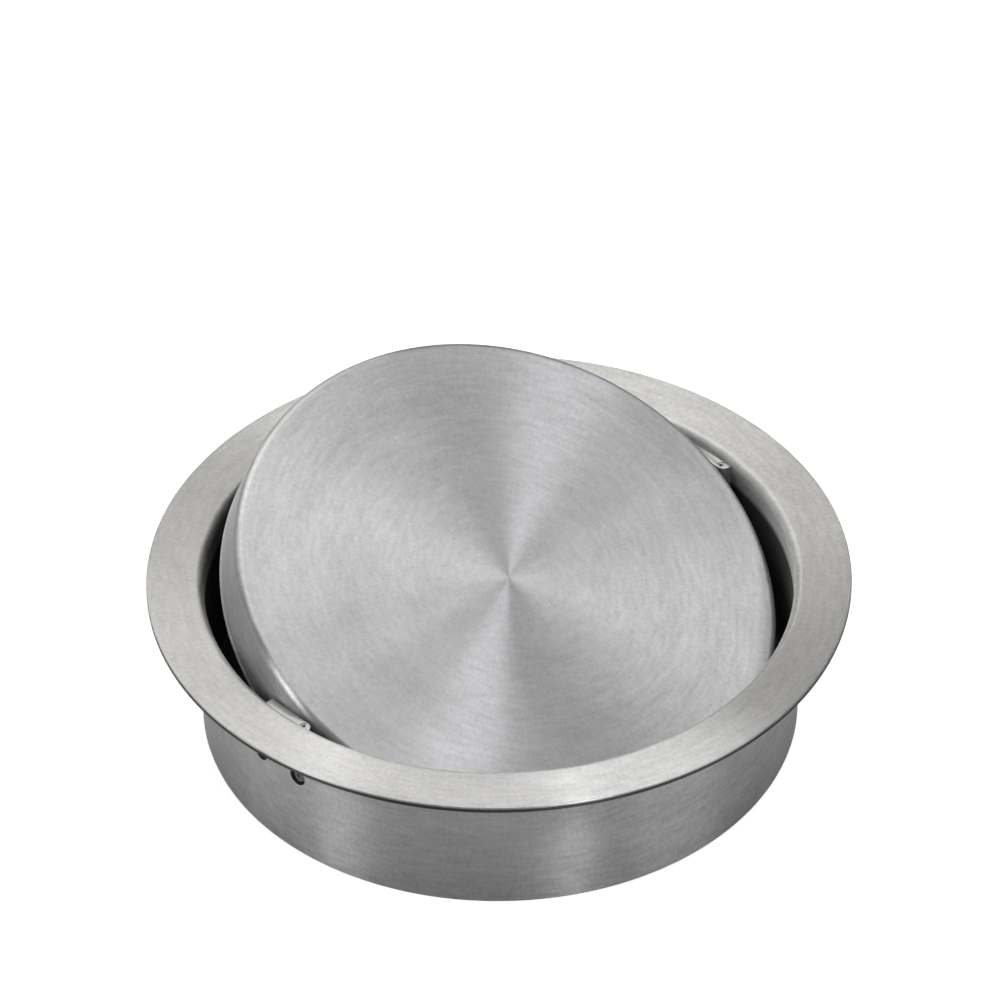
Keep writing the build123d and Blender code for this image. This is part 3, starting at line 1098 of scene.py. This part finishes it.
@dataclass
class Lid:
    """The drawn lid: a flat dish with a rounded corner, a skirt and a small rolled lip."""

    shop: Workshop
    radius: float
    lip_radius: float
    pivot_height: float
    tilt: float
    face: float = 4.7 * MM
    depth: float = 8.0 * MM
    sheet: float = 0.8 * MM
    corner: float = 1.0 * MM
    lip_width: float = 0.15 * MM
    lip_height: float = 0.5 * MM
    # Painted shade: darkens the lid's underside and also roughens it.
    underside_dullness: float = 0.6
    screw_hole: float = 1.0 * MM
    stop_hole: float = 0.6 * MM
    stop_reach: float = 3.4 * MM
    segments: int = 480
    slot: str = "brushed_lid"

    @classmethod
    def measured(cls, shop: Workshop) -> "Lid":
        """A lid with the frame's own sizes.

        Args:
            shop: The workshop that makes the piece.

        Returns:
            The lid.
        """
        joint = lid_joint()
        lip_radius = size_of("lid_pan").x / 2
        tilt = -math.radians(joint["range_deg"][0])
        return cls(shop, lip_radius - cls.lip_width, lip_radius, joint["pos_m"][2], tilt)

    def section(self) -> Section:
        """The outline of the dish from the middle of its face to the middle of its underside.

        Returns:
            The section, in heights above the pivot.
        """
        inner = self.radius - self.sheet
        turn_radius, turn_height = self.radius - self.corner, self.face - self.corner
        lip, edge = self.lip_width, self.face - self.depth
        outline = Section(0.0, self.face).to(turn_radius, self.face)
        outline.turn(turn_radius, turn_height, -90, 16, 0.35)
        outline.to(self.radius, edge + self.lip_height).to(self.lip_radius, edge + self.lip_height - lip)
        outline.to(self.lip_radius, edge + 0.5 * lip).to(self.lip_radius - 0.5 * lip, edge)
        # Painted shade: the underside is darkened from here on.
        outline.to(inner + 0.5 * lip, edge).dulled(self.underside_dullness)
        outline.to(inner, edge + 0.5 * lip).to(inner, turn_height)
        outline.turn(turn_radius, turn_height, 90, 10, 0.0)
        return outline.to(0.0, self.face - self.sheet)

    def punch(self) -> list[Object]:
        """The cutters of the screw's and the stop pin's holes, through both sides of the skirt.

        Returns:
            The cutters.
        """
        turn = (Matrix.Rotation(self.tilt, 3, "X") @ Euler(ALONG_X).to_matrix()).to_euler()
        centre = Vector((0.0, 0.0, self.pivot_height))
        stop = centre + Matrix.Rotation(self.tilt, 3, "X") @ Vector((0.0, -self.stop_reach, 0.0))
        cutters = []
        for hole, place in ((self.screw_hole, centre), (self.stop_hole, stop)):
            for side in Side:
                near = side.value * (self.radius - 2 * self.sheet)
                far = side.value * (self.radius + self.sheet)
                bar = Section(0.0, near).to(hole, near).to(hole, far).to(0.0, far)
                placing = {"Turn": tuple(turn), "Move": tuple(place)}
                cutters.append(self.shop.spun("skirt_punch", bar, self.slot, 40, **placing))
        return cutters

    def build(self) -> None:
        """Spins the dish, pierces its skirt and puts it in place."""
        turn, move = (self.tilt, 0.0, 0.0), (0.0, 0.0, self.pivot_height)
        dish = self.shop.spun("lid_dish", self.section(), self.slot, self.segments, Turn=turn, Move=move)
        dish = self.shop.cut(dish, *self.punch())
        self.shop.placed(dish, Body.LID, self.slot, "lid_pan")


@dataclass
class Fittings:
    """One side's fittings on either body, which share their naming and their reach along the pivot."""

    shop: Workshop
    side: Side
    pivot_height: float

    def node(self, name: str) -> str:
        """The frame's name of one of this side's nodes."""
        return f"{self.side.label}_{name}"

    def reach(self, node: str) -> tuple[float, float]:
        """The nearest and farthest distance of a node from the collar's axis, along the pivot.

        Args:
            node: The node's name, without its side.

        Returns:
            The two distances.
        """
        low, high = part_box(self.node(node))
        near, far = sorted((abs(low.x), abs(high.x)))
        return near, far

    def eased(self, body: Body, node: str, name: str, slot: str, width: float) -> None:
        """Breaks the edges of one of the frame's own shapes and puts it in place.

        Args:
            body: The body it rides on.
            node: The frame's node, without its side.
            name: The piece's name, without its side.
            slot: The record slot of its finish.
            width: How wide its broken edges are.
        """
        piece = self.shop.eased(self.node(node), self.node(name), slot, width)
        self.shop.placed(piece, body, slot, self.node(node))


@dataclass
class CollarFittings(Fittings):
    """What one side of the collar carries: bracket, coiled pins, bush, cone spring and grub screw."""

    pins: PinPattern = PinPattern()
    pin_sheet: float = 0.2 * MM
    pin_gap: float = 0.09 * MM
    pin_turns: float = 2.3
    pin_smallest_bore: float = 0.05 * MM
    bush_bore: float = 1.03 * MM
    bush_radius: float = 1.7 * MM
    bush_flange: float = 2.3 * MM
    bush_flange_thickness: float = 0.3 * MM
    spring_bore: float = 1.1 * MM
    spring_rim: float = 1.9 * MM
    spring_sheet: float = 0.12 * MM

    @property
    def quarter(self) -> tuple[float, float, float]:
        """The turn that lays a spun piece along the pivot, pointing outwards."""
        return (0.0, self.side.value * math.pi / 2, 0.0)

    def coiled_pins(self) -> None:
        """Two pins rolled from strip, which hold the bracket to the wall."""
        near, far = self.reach("bracket_pins")
        middle = self.side.value * (near + far) / 2
        height = self.pivot_height - self.pins.drop
        spots = bpy.data.meshes.new("pin_spots")
        spots.from_pydata([(height, end * self.pins.spacing / 2, 0.0) for end in (-1, 1)], [], [])
        inner = self.pins.radius - self.pin_turns * (self.pin_sheet + self.pin_gap) - self.pin_sheet
        pins = self.shop.shaped(
            self.node("coiled_pins"),
            spots,
            self.shop.shapers.roll,
            "spring_steel",
            Outer_Radius=self.pins.radius,
            Inner_Radius=max(inner, self.pin_smallest_bore),
            Sheet=self.pin_sheet,
            Length=far - near,
            Turns=self.pin_turns,
            Turn=(0.0, -math.pi / 2, 0.0),
            Move=(middle, 0.0, 0.0),
        )
        self.shop.placed(pins, Body.COLLAR, "spring_steel", self.node("bracket_pins"))

    def turned(self, name: str, node: str, slot: str, section: Section, segments: int = 96) -> None:
        """Spins a piece about the pivot axis and puts it in place.

        Args:
            name: The piece's name, without its side.
            node: The frame's node it stands for.
            slot: The record slot of its finish.
            section: Its outline, in distances from the collar's axis.
            segments: How many flats it has round.
        """
        move = (0.0, 0.0, self.pivot_height)
        piece = self.shop.spun(self.node(name), section, slot, segments, Turn=self.quarter, Move=move)
        self.shop.placed(piece, Body.COLLAR, slot, self.node(node))

    def bush(self) -> None:
        """The flanged plastic bush."""
        near, far = self.reach("pivot_bush")
        step, ease = near + self.bush_flange_thickness, 0.06 * MM
        outline = Section(self.bush_bore, far - ease).to(self.bush_bore, near + ease)
        outline.to(self.bush_bore + ease, near).to(self.bush_flange - ease, near)
        outline.to(self.bush_flange, near + ease).to(self.bush_flange, step).to(self.bush_radius, step)
        outline.to(self.bush_radius, far - ease).to(self.bush_radius - ease, far)
        outline.to(self.bush_bore + ease, far).to(self.bush_bore, far - ease)
        self.turned("flanged_bush", "pivot_bush", "bush_plastic", outline)

    def cone_spring(self) -> None:
        """The shallow spring washer under the pivot screw's head."""
        near, far = self.reach("disc_spring")
        rise = far - near - self.spring_sheet
        outline = Section(self.spring_bore, near + rise).to(self.spring_rim, near)
        outline.to(self.spring_rim, near + self.spring_sheet).to(self.spring_bore, far)
        self.turned("cone_spring", "disc_spring", "spring_steel", outline.to(self.spring_bore, near + rise))

    def build(self) -> None:
        """Makes every fitting of the side."""
        self.eased(Body.COLLAR, "pivot_bracket", "bracket_block", "bracket_steel", 0.12 * MM)
        self.coiled_pins()
        self.bush()
        self.cone_spring()
        self.eased(Body.COLLAR, "level_screw", "grub_screw", "screw_steel", 0.03 * MM)


@dataclass
class LidFittings(Fittings):
    """What one side of the lid carries: the slotted pivot screw, stop pin, lug and jam nut."""

    tilt: float
    shank: float = 1.0 * MM
    head: float = 1.9 * MM
    head_thickness: float = 0.41 * MM
    slot_width: float = 0.5 * MM
    slot_depth: float = 0.2 * MM
    thread_pitch: float = 0.4 * MM
    thread_depth: float = 0.16 * MM
    thread_length: float = 3.6 * MM
    pin_radius: float = 0.6 * MM
    pin_head: float = 0.9 * MM
    pin_head_thickness: float = 0.6 * MM
    stop_reach: float = 3.4 * MM
    pin_dome: float = 0.25 * MM
    ease: float = 0.08 * MM

    @property
    def turn(self) -> tuple[float, float, float]:
        """The turn that lays a spun piece along the tilted lid's pivot, pointing outwards."""
        quarter = Euler((0.0, self.side.value * math.pi / 2, 0.0)).to_matrix()
        return tuple((Matrix.Rotation(self.tilt, 3, "X") @ quarter).to_euler())

    def pivot_screw(self) -> None:
        """The slotted screw, with its thread cut from the tail to the lug."""
        near, far = self.reach("pivot_screw")
        under = far - self.head_thickness
        outline = Section(0.0, near).to(self.shank - 2 * self.ease, near)
        outline.to(self.shank, near + 2 * self.ease)
        outline.to(self.shank, near + self.thread_length, 0.04 * MM).to(self.shank, under)
        outline.to(self.head - self.ease, under).to(self.head, under + self.ease)
        outline.to(self.head, far - self.ease).to(self.head - self.ease, far).to(0.0, far)
        move = (0.0, 0.0, self.pivot_height)
        screw = self.shop.spun(
            self.node("slotted_screw"),
            outline,
            "screw_steel",
            72,
            Turn=self.turn,
            Move=move,
            Thread_Pitch=self.thread_pitch,
            Thread_Depth=self.thread_depth,
            Thread_Start=near + 3 * self.ease,
            Thread_End=near + self.thread_length,
        )
        screw = self.shop.cut(screw, self.driver(far))
        self.shop.placed(screw, Body.LID, "screw_steel", self.node("pivot_screw"))

    def driver(self, far: float) -> Object:
        """The cutter of the screw's slot.

        Args:
            far: The distance of the head's face from the collar's axis.

        Returns:
            The cutter.
        """
        mesh = bpy.data.meshes.new("driver")
        work = bmesh.new()
        bmesh.ops.create_cube(work, size=1.0)
        scale = Matrix.Diagonal((4 * self.head, self.slot_width, 2 * self.slot_depth, 1.0))
        spin = Matrix.Translation((0.0, 0.0, self.pivot_height)) @ Euler(self.turn).to_matrix().to_4x4()
        place = spin @ Matrix.Translation((0.0, 0.0, far)) @ Matrix.Rotation(math.pi / 2, 4, "Z")
        bmesh.ops.transform(work, matrix=place @ scale, verts=work.verts)
        work.to_mesh(mesh)
        work.free()
        mesh.materials.append(self.shop.finishes.of("screw_steel"))
        driver = bpy.data.objects.new("driver", mesh)
        bpy.context.scene.collection.objects.link(driver)
        return driver

    def stop_pin(self) -> None:
        """The headed pin that runs in the bracket's slot."""
        near, far = self.reach("stop_pin")
        neck, dome = near + self.pin_head_thickness, self.pin_dome
        outline = Section(0.0, near).to(self.pin_head - dome, near)
        outline.turn(self.pin_head - dome, near + dome, 90, 5).to(self.pin_head, neck - self.ease)
        outline.to(self.pin_head - self.ease, neck).to(self.pin_radius, neck)
        outline.to(self.pin_radius, far - 2 * self.ease)
        outline.to(self.pin_radius - 2 * self.ease, far).to(0.0, far)
        place = Matrix.Rotation(self.tilt, 3, "X") @ Vector((0.0, -self.stop_reach, 0.0))
        move = tuple(place + Vector((0.0, 0.0, self.pivot_height)))
        pin = self.shop.spun(self.node("headed_pin"), outline, "screw_steel", 48, Turn=self.turn, Move=move)
        self.shop.placed(pin, Body.LID, "screw_steel", self.node("stop_pin"))

    def build(self) -> None:
        """Makes every fitting of the side."""
        self.pivot_screw()
        self.stop_pin()
        self.eased(Body.LID, "lid_lug", "lug_plate", "bracket_steel", 0.12 * MM)
        self.eased(Body.LID, "jam_nut", "hex_nut", "screw_steel", 0.1 * MM)


@dataclass(frozen=True)
class Softbox:
    """One studio light, aimed at the object.

    Swing is how far it stands round from the camera, positive to the camera's right, and lift is how
    high it stands, both in degrees.
    """

    name: str
    swing: float
    lift: float
    width: float
    height: float
    brightness: float
    tint: tuple[float, float, float] = (1.0, 1.0, 1.0)
    distance: float = 0.8

    def build(self, camera_side: float) -> None:
        """Makes the light.

        Args:
            camera_side: The camera's own angle round the object, in radians.
        """
        round_to, up_to = camera_side + math.radians(self.swing), math.radians(self.lift)
        away = Vector(
            (math.sin(round_to) * math.cos(up_to), -math.cos(round_to) * math.cos(up_to), math.sin(up_to))
        )
        lamp = bpy.data.lights.new(self.name, "AREA")
        lamp.shape, lamp.size, lamp.size_y = "RECTANGLE", self.width, self.height
        lamp.energy = self.brightness * math.pi * self.width * self.height
        lamp.color = self.tint
        box = bpy.data.objects.new(self.name, lamp)
        box.location = self.distance * away
        box.rotation_euler = away.to_track_quat("Z", "Y").to_euler()
        bpy.context.scene.collection.objects.link(box)


@dataclass
class Studio:
    """The camera, the lights and the plain pale floor."""

    camera_side: float = math.radians(-43.4)
    camera_lift: float = 0.6967
    camera_roll: float = -0.0113
    distance: float = 0.93
    aim_up: float = 9.65 * MM
    aim_right: float = 0.145 * MM
    lens: float = 253.9
    sensor: float = 36.0
    floor_size: float = 6.0
    floor_glow: float = 0.7
    hole_margin: float = 0.3 * MM
    softboxes: tuple[Softbox, ...] = (
        Softbox("left_strip", -58.0, 30.0, 0.16, 0.5, 3.9),
        Softbox("narrow_key", 26.0, 44.0, 0.08, 0.5, 10.0, (0.97, 0.96, 1.0)),
        Softbox("overhead_bank", 180.0, 76.0, 0.9, 0.45, 1.45),
        Softbox("back_left_bank", -162.0, 46.0, 0.6, 0.5, 1.4, (1.0, 0.985, 0.95)),
        Softbox("back_bank", 180.0, 50.0, 0.4, 0.5, 0.3, (1.0, 0.985, 0.95)),
        Softbox("right_low", 60.0, 14.0, 0.45, 0.3, 1.35),
        Softbox("right_high", 95.0, 68.0, 0.5, 0.4, 0.8),
        Softbox("left_low", -80.0, 12.0, 0.55, 0.28, 0.7, (0.97, 0.98, 1.0)),
        Softbox("left_mid", -115.0, 34.0, 0.4, 0.4, 0.45),
    )

    def camera(self) -> None:
        """Sets up the camera that looks down on the object."""
        side, lift = self.camera_side, self.camera_lift
        back = Vector((math.sin(side) * math.cos(lift), -math.cos(side) * math.cos(lift), math.sin(lift)))
        right = Vector((math.cos(side), math.sin(side), 0.0))
        roll = Matrix.Rotation(self.camera_roll, 3, back)
        upright = right.cross(-back)
        right, upright = roll @ right, roll @ upright
        flange_top = Vector((0.0, 0.0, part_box("collar_flange")[1].z))
        place = flange_top + self.distance * back
        target = flange_top + self.aim_up * upright + self.aim_right * right
        looking = (place - target).normalized()
        across = upright.cross(looking).normalized()
        frame_axes = Matrix((across, looking.cross(across), looking)).transposed()
        data = bpy.data.cameras.new("studio_camera")
        data.lens, data.sensor_width = self.lens, self.sensor
        data.clip_start, data.clip_end = 0.05, 20.0
        camera = bpy.data.objects.new("studio_camera", data)
        camera.matrix_world = Matrix.Translation(place) @ frame_axes.to_4x4()
        bpy.context.scene.collection.objects.link(camera)
        bpy.context.scene.camera = camera

    def world(self) -> None:
        """Fills the room with even light that fades a little towards the ground."""
        world = bpy.data.worlds.new("studio_room")
        world.use_nodes = True
        bench = NodeBench(world.node_tree)
        direction = bench.add("ShaderNodeTexCoord").outputs["Generated"]
        height = bench.add("ShaderNodeSeparateXYZ", direction).outputs[2]
        share = bench.ramp(height, -0.1, 0.9)
        colour = bench.mixed(share, (0.05, 0.05, 0.052, 1.0), (0.08, 0.08, 0.084, 1.0))
        background = world.node_tree.nodes["Background"]
        bench.feed(background.inputs["Color"], colour)
        background.inputs["Strength"].default_value = 1.0
        bpy.context.scene.world = world

    def floor(self) -> None:
        """Lays the pale floor under the collar's foot, with painted shade: near black inside the collar."""
        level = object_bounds()[0].z
        half = self.floor_size / 2
        mesh = bpy.data.meshes.new("studio_floor")
        corners = [(-half, -half, level), (half, -half, level), (half, half, level), (-half, half, level)]
        mesh.from_pydata(corners, [], [(0, 1, 2, 3)])
        bench = MaterialBench("studio_floor")
        place = bench.add("ShaderNodeTexCoord").outputs["Object"]
        spread = bench.add("ShaderNodeVectorMath", place, operation="LENGTH").outputs["Value"]
        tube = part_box("collar_wall")[1]
        open_floor = bench.maths("GREATER_THAN", spread, math.hypot(tube.x, level) - self.hole_margin)
        seen = bench.add("ShaderNodeLightPath").outputs["Is Camera Ray"]
        glow = bench.times(bench.times(seen, open_floor), self.floor_glow)
        # Painted shade: the floor inside the collar is near black.
        floor_and_hole_shade = bench.mixed(open_floor, (0.02, 0.02, 0.02, 1.0), (0.9, 0.9, 0.9, 1.0))
        bench.feeds(bench.shader, Base_Color=floor_and_hole_shade, Roughness=0.9, Emission_Strength=glow)
        bench.feeds(bench.shader, Emission_Color=(1.0, 1.0, 1.0, 1.0))
        mesh.materials.append(bench.material)
        floor = bpy.data.objects.new("studio_floor", mesh)
        bpy.context.scene.collection.objects.link(floor)
        floor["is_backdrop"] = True

    def build(self) -> None:
        """Sets up the whole studio."""
        self.camera()
        self.world()
        for softbox in self.softboxes:
            softbox.build(self.camera_side)
        self.floor()
        bpy.context.scene.view_settings.view_transform = "Standard"
        log.info("studio: %d softboxes", len(self.softboxes))


def main() -> None:
    """Builds the grommet's looks and the studio round it."""
    logging.basicConfig(level=logging.INFO, format="%(name)s: %(message)s")
    shop = Workshop(Finishes.mixed(), Shapers())
    collar = Collar.measured(shop)
    collar.build()
    lid = Lid.measured(shop)
    lid.build()
    for side in Side:
        CollarFittings(shop, side, collar.pivot_height).build()
        LidFittings(shop, side, lid.pivot_height, lid.tilt).build()
    Studio().build()
    log.info("%d pieces made", len(shop.made))


if __name__ == "__main__":
    main()
